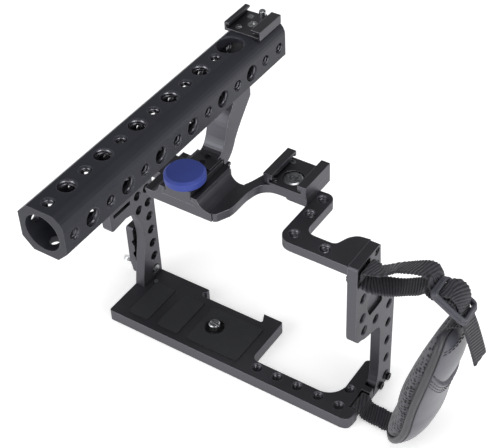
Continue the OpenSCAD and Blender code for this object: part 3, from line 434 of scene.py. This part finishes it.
nodeLooks = {
    "black_anodised": blackAnodised, "tube_anodised": tubeAnodised, "blue_anodised": blueAnodised,
    "steel_screws": brightSteel, "black_screws": blackSteel, "rubber": blackRubber,
    "webbing": wovenNylon, "buckle": greyAcetal, "pad_mesh": airMesh, "pad_leather": greyLeather,
}
for part in frame["record"]["subparts"]:
    node = frame["nodes"][part["node"]]
    node.data.materials.clear()
    node.data.materials.append(nodeLooks[part["material_slot"]])
print("materials set")


# the cut threads in the tapped holes, in mm
ridge = {"steps": 22, "sink": 0.04, "height": 0.42, "crest": 0.05, "foot": 0.42, "fade": 8}
quarterInch = {"root": 2.55, "pitch": 1.27}
threeEighths = {"root": 3.95, "pitch": 1.59}


# a helical ridge in each hole: (centre, axis, thread size, length)
def threadMesh(name, holes, material, body):
    verts, faces = [], []
    for centre, axis, size, length in holes:
        axis = Vector(axis)
        side = axis.orthogonal().normalized()
        other = axis.cross(side)
        count = int(ridge["steps"] * length / size["pitch"])
        first = len(verts)
        for i in range(count + 1):
            angle = 2 * math.pi * i / ridge["steps"]
            level = -length / 2 + size["pitch"] * i / ridge["steps"]
            out = side * math.cos(angle) + other * math.sin(angle)
            rise = -ridge["height"] * min(1, i / ridge["fade"], (count - i) / ridge["fade"])
            for shift, lift in ((ridge["sink"], -ridge["foot"]), (rise, -ridge["crest"]),
                                (rise, ridge["crest"]), (ridge["sink"], ridge["foot"])):
                spot = Vector(centre) + out * (size["root"] + shift) + axis * (level + lift * size["pitch"])
                verts.append(spot * mm)
        for i in range(count):
            a = first + 4 * i
            faces += [(a + k, a + k + 1, a + k + 5, a + k + 4) for k in range(3)]
    return dress(meshObject(name, verts, faces), material, body)


xWay, zWay = (1, 0, 0), (0, 0, 1)
baseHoles = [((37 + 12.9 * k, -13, 3.75), zWay, quarterInch, 6.4) for k in range(5)]
baseHoles.append(((88, -0.1, 3.75), zWay, quarterInch, 6.4))
leftHoles = [((-57, y, 12.6 + 10.3 * k), xWay, quarterInch, 4.8)
             for y, row in ((17.7, range(1, 10)), (9.4, (5, 6))) for k in row]
rightPlaces = [(20.2, 6.2 + 13.65 * k) for k in range(5)]
rightPlaces += [(5.9, 62), (-6.1, 64.3), (-8, 74.6), (-8, 88.3), (4.2, 100.7)]
rightHoles = [((95.85, y, z), xWay, quarterInch, 4.3) for y, z in rightPlaces]
armHoles = [((x, y, 109.75), zWay, quarterInch, 4.4)
            for x, y in ((58.2, 21.8), (58.3, 9.1), (59.3, -7.4), (77.6, -8.9))]
tubeHoles = []
for k in range(14):
    y = -107.4 + 12.5 * k
    size = threeEighths if k % 2 == 1 and k < 12 else quarterInch
    tubeHoles += [((x, y, 167.9), xWay, size, 2.6) for x in (-10.9, 10.9)]
    if k < 11:
        tubeHoles.append(((0, y, 178.7), zWay, size, 2.6))
threadMesh("baseThreads", baseHoles, bareThread, "cage")
threadMesh("leftPlateThreads", leftHoles, dyedThread, "cage")
threadMesh("rightPlateThreads", rightHoles, dyedThread, "cage")
threadMesh("topArmThreads", armHoles, bareThread, "cage")
threadMesh("tubeThreads", tubeHoles, bareThread, "handle")
print("threads cut")


# a woven band along a route of (x, y, z, cross x, cross y, cross z) rows, in mm
def makeBand(name, route, endCut=0.0):
    rows = smoothRows(route, webbing["step"])
    half, thick, n = webbing["width"] / 2, webbing["thick"] / 2, webbing["columns"]
    ring = [(-1 + 2 * k / n, 1) for k in range(n + 1)] + [(-1 + 2 * k / n, -1) for k in range(n, -1, -1)]
    verts, faces, marks = [], [], []
    run = 0.0
    for i, row in enumerate(rows):
        here = Vector(row[:3])
        ahead = Vector(rows[min(i + 1, len(rows) - 1)][:3])
        behind = Vector(rows[max(i - 1, 0)][:3])
        along = (ahead - behind).normalized()
        across = Vector(row[3:6])
        across = (across - along * across.dot(along)).normalized()
        up = along.cross(across)
        if i:
            run += (here - behind).length
        slope = endCut if i == len(rows) - 1 else 0
        for side, face in ring:
            edge = max(0.0, abs(side) - 1 + webbing["selvedge"]) / webbing["selvedge"]
            wave = math.sin(2 * math.pi * (run + webbing["slant"] * side * half) / webbing["rib"])
            reach = half + webbing["serration"] * math.sin(2 * math.pi * run / webbing["rib"])
            lift = thick * math.sqrt(max(0.0, 1 - 0.85 * edge ** 2))
            lift += webbing["ribHeight"] * wave * (1 - edge)
            verts.append((here + across * side * reach + up * face * lift + along * slope * side * half) * mm)
            marks.append((run * mm, side * half * mm, face * mm))
    size = len(ring)
    for i in range(len(rows) - 1):
        a, b = i * size, (i + 1) * size
        faces += [(a + k, a + (k + 1) % size, b + (k + 1) % size, b + k) for k in range(size)]
    last = (len(rows) - 1) * size
    for k in range(n):  # both ends closed
        faces.append((k + 1, k, size - 1 - k, size - 2 - k))
        faces.append((last + k, last + k + 1, last + size - 2 - k, last + size - 1 - k))
    obj = meshObject(name, verts, faces)
    place = obj.data.attributes.new("webPlace", "FLOAT_VECTOR", "POINT")
    place.data.foreach_set("vector", [c for m in marks for c in m])
    faceOutward(obj)
    return obj


# the buckle's own plane
buckleMid = Vector((143.36, -2.2, 106))
buckleAlong = Vector((0.853, -0.004, -0.522))
buckleAcross = Vector((-0.06, 0.9926, -0.1055))
buckleUp = buckleAlong.cross(buckleAcross)


# a row of a route: d along the buckle, n out of it, slip across it, with the band's cross tilted by lean
def atBuckle(d, n, lean=0.0, slip=0.0):
    spot = buckleMid + buckleAlong * d + buckleUp * n + buckleAcross * slip
    way = buckleAcross + buckleUp * lean
    return (*spot, *way)


topRoute = [
    (142.45, -3, 90.4, 0, 1, 0), (144.8, -3, 94.1, 0, 1, 0),
    atBuckle(10.4, -5.2), atBuckle(8.8, -4.4), atBuckle(7.2, -3.7), atBuckle(5.5, -2.2), atBuckle(3.6, -0.2),
    atBuckle(1.6, 1.05), atBuckle(0, 1.3), atBuckle(-1.6, 1.05), atBuckle(-3.4, -0.1), atBuckle(-5.4, -2.2),
    atBuckle(-7.1, -3.7), atBuckle(-8.6, -4.3), atBuckle(-10.6, -4.5), atBuckle(-12.4, -4.7),
    (127, -2.7, 107, 0, 1, 0.12), (121.6, -2.9, 104.1, 0, 1, 0.11), (116.2, -3.3, 101.2, 0, 1, 0.1),
    (111, -4.2, 99.7, 0, 1, 0.1), (106.1, -5.6, 99.5, 0, 1, 0.07), (102.6, -6.8, 99.8, 0, 1, 0.05),
    (100.2, -7.05, 100.3, 0, 1, 0), (98, -7.05, 100.5, 0, 1, 0), (94.1, -7.05, 100.5, 0, 1, 0),
    (92.65, -7.05, 100.65, 0, 1, 0), (92.15, -7.05, 101.6, 0, 1, 0), (92.15, -7.05, 103.7, 0, 1, 0),
    (92.65, -7.05, 104.65, 0, 1, 0), (94.1, -7.05, 104.8, 0, 1, 0), (98.1, -7.05, 104.8, 0, 1, 0),
    (99.35, -7.05, 105.2, 0, 1, 0), (99.55, -7.05, 106.4, 0, 1, 0), (99.65, -7.15, 108.4, 0, 1, 0),
    (100.5, -7.15, 110, 0, 1, 0), (101.9, -7.05, 110.2, 0, 1, -0.1), (103.8, -6.75, 109.9, 0, 1, -0.2),
    (106.8, -6, 109.8, 0, 1, -0.27), (110, -3.2, 110, 0, 1, -0.28), (113.6, -0.6, 110.8, 0, 1, -0.26),
    (119.6, 0.2, 113.2, 0, 1, -0.16), (123.6, 0.9, 114.4, 0, 1, -0.1), (127, 1.6, 114.6, 0, 1, -0.06),
    (129.6, 2, 113.5, 0, 1, -0.04), (131.2, 2, 111.7, 0, 1, -0.04), atBuckle(-11.7, -2.45, 0, 1.8),
    atBuckle(-10.3, -2.95, 0, 1.7), atBuckle(-8.9, -2.7, 0, 1.2), atBuckle(-7.6, -0.9, 0.1, 0.1),
    atBuckle(-6.2, 1.8, 0.24, 0.1), atBuckle(-4, 4.1, 0.28, 0.8), atBuckle(-1.8, 4.7, 0.28, 0.8),
    atBuckle(0.4, 4.4, 0.24, 0.7), atBuckle(2.6, 3.4, 0.16, 0.5), atBuckle(4.9, 1.5, 0.06, 0.1),
    atBuckle(6.6, -0.9), atBuckle(8.1, -2.5), atBuckle(10, -2.8), atBuckle(11.6, -3.5),
    (153.4, -2.4, 91.5, 0, 1, -0.1), (156.2, -2.2, 83.5, 0, 1, -0.1), (159, -2.2, 75, 0, 1, -0.1),
]
lowRoute = [
    (117.2, -4.6, 2.9, 0, 1, 0), (114.2, -4.4, 1.8, 0, 1, 0.06), (111, -4.2, 1.5, 0, 1, -0.05),
    (108, -4.1, 1.6, 0, 1, 0.05), (105, -4, 1.5, 0, 1, 0), (101.2, -4, 2.2, 0, 1, 0),
    (99.8, -4, 4.2, 0, 1, 0), (99.35, -4, 5.5, 0, 1, 0), (98.9, -4, 6.25, 0, 1, 0), (97.8, -4, 6.45, 0, 1, 0),
    (96.5, -4, 6.55, 0, 1, 0), (95.75, -4, 6.4, 0, 1, 0), (95.15, -4, 5.75, 0, 1, 0),
    (95.15, -4, 2.05, 0, 1, 0), (95.75, -4, 1.4, 0, 1, 0), (96.5, -4, 1.3, 0, 1, 0),
]
topBand = dress(makeBand("topWebbing", topRoute, endCut=0.12), wovenNylon, "cage")
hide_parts("strap_top")
lowBand = dress(makeBand("lowWebbing", lowRoute), wovenNylon, "cage")
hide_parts("strap_bottom")
print("webbing woven")

# the buckle, in mm
buckle = {
    "halfLong": 11.25, "halfWide": 8.85, "openLong": 8.35, "openWide": 6.65, "outerRound": 3.6,
    "innerRound": 1.3, "top": 1.7, "bottom": -1.8, "barReach": 7.2, "barWide": 1.2, "barThick": 0.85,
    "barLevel": -0.5,
}


def roundedPath(halfLong, halfWide, radius, count):
    out = []
    for cx, cy, start in ((1, 1, 0), (-1, 1, 90), (-1, -1, 180), (1, -1, 270)):
        for k in range(count + 1):
            angle = math.radians(start + 90 * k / count)
            out.append((cx * (halfLong - radius) + radius * math.cos(angle),
                        cy * (halfWide - radius) + radius * math.sin(angle)))
    return out


def makeBuckle(spec):
    outer = roundedPath(spec["halfLong"], spec["halfWide"], spec["outerRound"], 8)
    inner = roundedPath(spec["openLong"], spec["openWide"], spec["innerRound"], 8)
    # around the bar: how far from the outer edge to the inner one, and the height
    profile = [(0.16, spec["bottom"]), (0.0, spec["bottom"] + 0.5), (0.0, -0.25), (0.04, 0.0), (0.12, 0.12),
               (0.38, 0.3), (0.42, 0.38), (0.44, 0.5), (0.46, spec["top"] - 0.3), (0.5, spec["top"] - 0.06),
               (0.56, spec["top"]), (0.84, spec["top"]), (0.94, spec["top"] - 0.1), (1.0, spec["top"] - 0.5),
               (1.0, spec["bottom"] + 0.6), (0.8, spec["bottom"])]
    verts, faces = [], []
    for (ox, oy), (ix, iy) in zip(outer, inner):
        for t, h in profile:
            flat = (ox + (ix - ox) * t, oy + (iy - oy) * t)
            verts.append((buckleMid + buckleAlong * flat[0] + buckleAcross * flat[1] + buckleUp * h) * mm)
    size, total = len(profile), len(outer)
    for i in range(total):
        a, b = i * size, (i + 1) % total * size
        faces += [(a + k, a + (k + 1) % size, b + (k + 1) % size, b + k) for k in range(size)]
    # the middle bar, an oval rod between the two side bars
    first, rings, around = len(verts), 9, 12
    for i in range(rings + 1):
        y = spec["barReach"] * (2 * i / rings - 1)
        for k in range(around):
            angle = 2 * math.pi * k / around
            level = spec["barLevel"] + spec["barThick"] * math.sin(angle)
            verts.append((buckleMid + buckleAlong * (spec["barWide"] * math.cos(angle)) + buckleAcross * y
                          + buckleUp * level) * mm)
    for i in range(rings):
        a, b = first + i * around, first + (i + 1) * around
        faces += [(a + k, a + (k + 1) % around, b + (k + 1) % around, b + k) for k in range(around)]
    faces.append(tuple(range(first + around - 1, first - 1, -1)))
    faces.append(tuple(range(first + rings * around, first + (rings + 1) * around)))
    obj = meshObject("strapBuckle", verts, faces)
    faceOutward(obj)
    return obj


buckleBody = dress(makeBuckle(buckle), greyAcetal, "cage")
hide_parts("strap_buckle")
print("buckle moulded")

# the padded grip, in mm
grip = {
    # x, z, half width, half thickness along the grip's middle surface
    "stations": [(118.4, 3.4, 6, 2.2), (120.3, 6.6, 11, 4), (123.2, 12, 15.5, 5.4), (126.2, 18.5, 18.5, 6.2),
                 (129, 27, 20.2, 6.6), (130.6, 37, 21, 6.6), (132.6, 48, 21, 6.5), (135.2, 59, 20.6, 6.2),
                 (138, 70, 19.6, 5.6), (140.4, 80, 17.6, 4.8), (141.8, 87, 14, 3.8), (142.4, 90, 9, 2.4)],
    "middle": -3.0, "lean": 2.8, "leanTop": 34, "seam": 0.8,
}
gripLine = smoothRows([(s[0], s[1], 0, s[2], s[3]) for s in grip["stations"]], 0.7)
gripLength = sum(math.dist(a[:2], b[:2]) for a, b in zip(gripLine, gripLine[1:]))


def gripStation(u):
    t = min(max(u, 0.0), 1.0) * (len(gripLine) - 1)
    i = min(int(t), len(gripLine) - 2)
    f = t - i
    x, z, _, halfWide, halfThick = [a + (b - a) * f for a, b in zip(gripLine[i], gripLine[i + 1])]
    lo, hi = gripLine[max(i - 2, 0)], gripLine[min(i + 3, len(gripLine) - 1)]
    along = Vector((hi[0] - lo[0], 0, hi[1] - lo[1])).normalized()
    return x, z, halfWide, halfThick, along


# a point of the grip: u up its length, v across in mm, h out of its middle surface in mm
def gripPoint(u, v, h):
    x, z, _, _, along = gripStation(u)
    y = grip["middle"] - grip["lean"] * max(0.0, 1 - z / grip["leanTop"]) + v
    return Vector((x + along.z * h, y, z - along.x * h)) * mm


# the cushion's shape and its cloth: lengths in mm, pressure in the solver's own unit
pad = {"rows": 46, "around": 44, "inset": 0.9, "faceFill": 0.84, "backFill": 0.9, "voxel": 2.4,
       "pressure": 4.0, "frames": 20, "cap": 1.4}


def makeCushion():
    verts, faces = [], []
    rows, around = pad["rows"], pad["around"]
    for i in range(rows + 1):
        u = i / rows
        _, _, wide, thick, _ = gripStation(u)
        for k in range(around):
            c, q = math.cos(2 * math.pi * k / around), math.sin(2 * math.pi * k / around)
            v = math.copysign(abs(c) ** 0.5, c) * (wide - pad["inset"])
            h = math.copysign(abs(q) ** 0.55, q) * thick * (pad["faceFill"] if q > 0 else pad["backFill"])
            verts.append(gripPoint(u, v, h))
    for i in range(rows):
        a, b = i * around, (i + 1) * around
        faces += [(a + k, a + (k + 1) % around, b + (k + 1) % around, b + k) for k in range(around)]
    faces.append(tuple(range(around)))
    faces.append(tuple(range(rows * around + around - 1, rows * around - 1, -1)))
    obj = meshObject("gripCushion", verts, faces)
    faceOutward(obj)
    remesh = obj.modifiers.new("remesh", "REMESH")
    remesh.mode = "VOXEL"
    remesh.voxel_size = pad["voxel"] * mm
    applyModifiers(obj)
    inflate(obj)
    smooth = obj.modifiers.new("smooth", "SMOOTH")
    smooth.iterations = 3
    finer = obj.modifiers.new("finer", "SUBSURF")
    finer.levels = finer.render_levels = 1
    applyModifiers(obj)
    obj.data.polygons.foreach_set("use_smooth", [True] * len(obj.data.polygons))
    return obj


def applyModifiers(obj):
    bpy.context.view_layer.update()
    shaped = obj.evaluated_get(bpy.context.evaluated_depsgraph_get())
    data = bpy.data.meshes.new_from_object(shaped)
    obj.modifiers.clear()
    old = obj.data
    obj.data = data
    bpy.data.meshes.remove(old)


# the cushion's cloth is blown up a little against its own stiffness, then the move is capped
def inflate(obj):
    cloth = obj.modifiers.new("cloth", "CLOTH")
    cloth.settings.use_pressure = True
    cloth.settings.uniform_pressure_force = pad["pressure"]
    cloth.settings.effector_weights.gravity = 0
    cloth.settings.quality = 5
    cloth.point_cache.frame_start = 1
    cloth.point_cache.frame_end = pad["frames"]
    rest = [v.co.copy() for v in obj.data.vertices]
    for number in range(1, pad["frames"] + 1):
        scene.frame_set(number)
    shaped = obj.evaluated_get(bpy.context.evaluated_depsgraph_get())
    moved = [v.co.copy() for v in shaped.data.vertices]
    obj.modifiers.remove(cloth)
    scene.frame_set(1)
    limit = pad["cap"] * mm
    furthest = 0.0
    for vert, start, end in zip(obj.data.vertices, rest, moved):
        move = end - start
        furthest = max(furthest, move.length)
        if move.length > limit:
            move = move.normalized() * limit
        vert.co = start + move
    print("cushion blown up by", round(furthest * 1000, 2), "mm at most")


# the leather face in two panels, the lower one laid over the upper one; lengths in mm
leather = {
    "rows": 170, "columns": 40, "thick": 0.8, "flat": 0.88, "crown": 5.6, "closed": 0.07,
    "bulge": 1.4, "bulgePlace": 0.78, "bulgeSpread": 0.13,
    "panelEdge": 0.61, "panelLean": -0.09, "panelCurve": 0.12,
    "lap": 0.6, "roll": 0.6, "rollPlace": 0.9, "rollSpread": 1.1, "dip": 0.6, "dipReach": 1.8,
}
thickest = max(s[3] for s in grip["stations"])


# how far up the grip the lower panel reaches at v from -1 to 1
def panelCut(v):
    return leather["panelEdge"] + leather["panelLean"] * v + leather["panelCurve"] * v * v


# the leather face's height over the middle surface at v from -1 to 1
def coverHeight(u, v):
    thick = gripStation(u)[3]
    low = grip["seam"] * thick
    high = leather["flat"] * thick + leather["crown"] * thick / thickest
    high += leather["bulge"] * math.exp(-((u - leather["bulgePlace"]) / leather["bulgeSpread"]) ** 2)
    # both ends close down onto the seam
    end = min(1.0, (1 - u) / leather["closed"], u / leather["closed"])
    height = low + (high - low) * (1 - abs(v) ** 2.4) ** 0.75 * math.sqrt(max(0.0, 1 - (1 - end) ** 2))
    gap = (panelCut(v) - u) * gripLength
    if gap > 0:  # the lower panel ends in a rolled edge
        roll = leather["roll"] * math.exp(-(gap - leather["rollPlace"]) ** 2 / leather["rollSpread"])
        return height + (leather["lap"] + roll) * (1 - abs(v) ** 4)
    return height - leather["dip"] * math.exp(gap / leather["dipReach"]) * (1 - abs(v) ** 6)


def makeCover():
    verts, faces = [], []
    rows, columns = leather["rows"], leather["columns"]
    for i in range(rows + 1):
        u = i / rows
        _, _, wide, _, _ = gripStation(u)
        for k in range(columns + 1):
            v = math.sin(math.pi / 2 * (-1 + 2 * k / columns))
            verts.append(gripPoint(u, v * wide, coverHeight(u, v)))
    for i in range(rows):
        a, b = i * (columns + 1), (i + 1) * (columns + 1)
        faces += [(a + k, a + k + 1, b + k + 1, b + k) for k in range(columns)]
    obj = meshObject("leatherCover", verts, faces)
    thick = obj.modifiers.new("thick", "SOLIDIFY")
    thick.thickness = leather["thick"] * mm
    thick.offset = -1
    applyModifiers(obj)
    obj.data.polygons.foreach_set("use_smooth", [True] * len(obj.data.polygons))
    return obj


# a round tube along an open or closed run of points, in metres
def makeTube(name, points, radius, closed):
    curve = bpy.data.curves.new(name, "CURVE")
    curve.dimensions = "3D"
    curve.bevel_depth = radius
    curve.bevel_resolution = 3
    line = curve.splines.new("POLY")
    line.points.add(len(points) - 1)
    for spot, p in zip(line.points, points):
        spot.co = (*p, 1)
    line.use_cyclic_u = closed
    obj = bpy.data.objects.new(name, curve)
    scene.collection.objects.link(obj)
    bpy.context.view_layer.update()
    data = bpy.data.meshes.new_from_object(obj.evaluated_get(bpy.context.evaluated_depsgraph_get()))
    bpy.data.objects.remove(obj)
    solid = bpy.data.objects.new(name, data)
    scene.collection.objects.link(solid)
    data.polygons.foreach_set("use_smooth", [True] * len(data.polygons))
    return solid


# the closed line of the seam round the grip, raised by lift and drawn in by inset
def seamLoop(lift, inset):
    points = []
    count = 90
    for side in (1, -1):
        for i in range(count + 1):
            u = i / count if side == 1 else 1 - i / count
            _, _, wide, thick, _ = gripStation(u)
            points.append(gripPoint(u, side * (wide - inset), grip["seam"] * thick + lift))
        u = 1.0 if side == 1 else 0.0
        _, _, wide, thick, _ = gripStation(u)
        for k in range(1, 6):
            points.append(gripPoint(u, side * (wide - inset) * (1 - k / 3), grip["seam"] * thick + lift))
    return points


# short raised stitches along runs of (u, v) on the leather face
def makeStitches(name, runs, spec):
    verts, faces = [], []
    for run in runs:
        points = []
        for u, v in run:
            _, _, wide, _, _ = gripStation(u)
            points.append(gripPoint(u, v * wide, coverHeight(u, v) + spec["lift"]))
        gone, nextStart = 0.0, 0.0
        for a, b in zip(points, points[1:]):
            gone += (b - a).length
            if gone < nextStart:
                continue
            nextStart = gone + spec["pitch"]
            way = (b - a).normalized()
            side = way.orthogonal().normalized()
            other = way.cross(side)
            first = len(verts)
            for t, r in ((-0.5, 0.35), (-0.25, 1.0), (0.25, 1.0), (0.5, 0.35)):
                for k in range(6):
                    angle = math.pi * k / 3
                    out = side * math.cos(angle) + other * math.sin(angle)
                    verts.append(a + way * spec["long"] * t + out * spec["radius"] * r)
            for i in range(3):
                p, q = first + i * 6, first + (i + 1) * 6
                faces += [(p + k, p + (k + 1) % 6, q + (k + 1) % 6, q + k) for k in range(6)]
            faces.append(tuple(range(first + 5, first - 1, -1)))
            faces.append(tuple(range(first + 18, first + 24)))
    obj = meshObject(name, verts, faces)
    faceOutward(obj)
    return obj


cushion = dress(makeCushion(), airMesh, "cage")
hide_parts("strap_pad")
cover = dress(makeCover(), greyLeather, "cage")
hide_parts("strap_cover")

# the sewing: lift and rows in mm, radii and stitches in metres
sewing = {"bindingRadius": 0.0019, "cordRadius": 0.00045, "panelReach": 0.93, "flapRows": (3.2, 5.2, 7.2),
          "topRows": (0.93, 0.945), "topReach": 0.8}
binding = makeTube("gripBinding", seamLoop(-1.3, 0.2), sewing["bindingRadius"], True)
dress(binding, bindingLeather, "cage")
# painted shade: a dark cord lies along the groove between the binding and the leather
groove = makeTube("seamGrooveShade", seamLoop(0.95, 0.75), sewing["cordRadius"], True)
dress(groove, darkThread, "cage")
# painted shadow: a thin dark cord along the lower panel's rolled edge stands in for the shadow under it
flapEdge = []
for k in range(81):
    v = sewing["panelReach"] * (2 * k / 80 - 1)
    u = panelCut(v) + 0.5 / gripLength
    flapEdge.append(gripPoint(u, v * gripStation(u)[2], coverHeight(u, v) + 0.15))
dress(makeTube("flapShadeCord", flapEdge, sewing["cordRadius"], False), darkThread, "cage")
stitch = {"pitch": 0.0029, "long": 0.0021, "radius": 0.00024, "lift": 0.12}
flapPlaces = [sewing["panelReach"] * (2 * k / 160 - 1) for k in range(161)]
topPlaces = [sewing["topReach"] * (2 * k / 120 - 1) for k in range(121)]
stitchRuns = [[(panelCut(v) - row / gripLength, v) for v in flapPlaces] for row in sewing["flapRows"]]
stitchRuns += [[(row, v) for v in topPlaces] for row in sewing["topRows"]]
dress(makeStitches("gripStitches", stitchRuns, stitch), darkThread, "cage")
print("grip sewn")
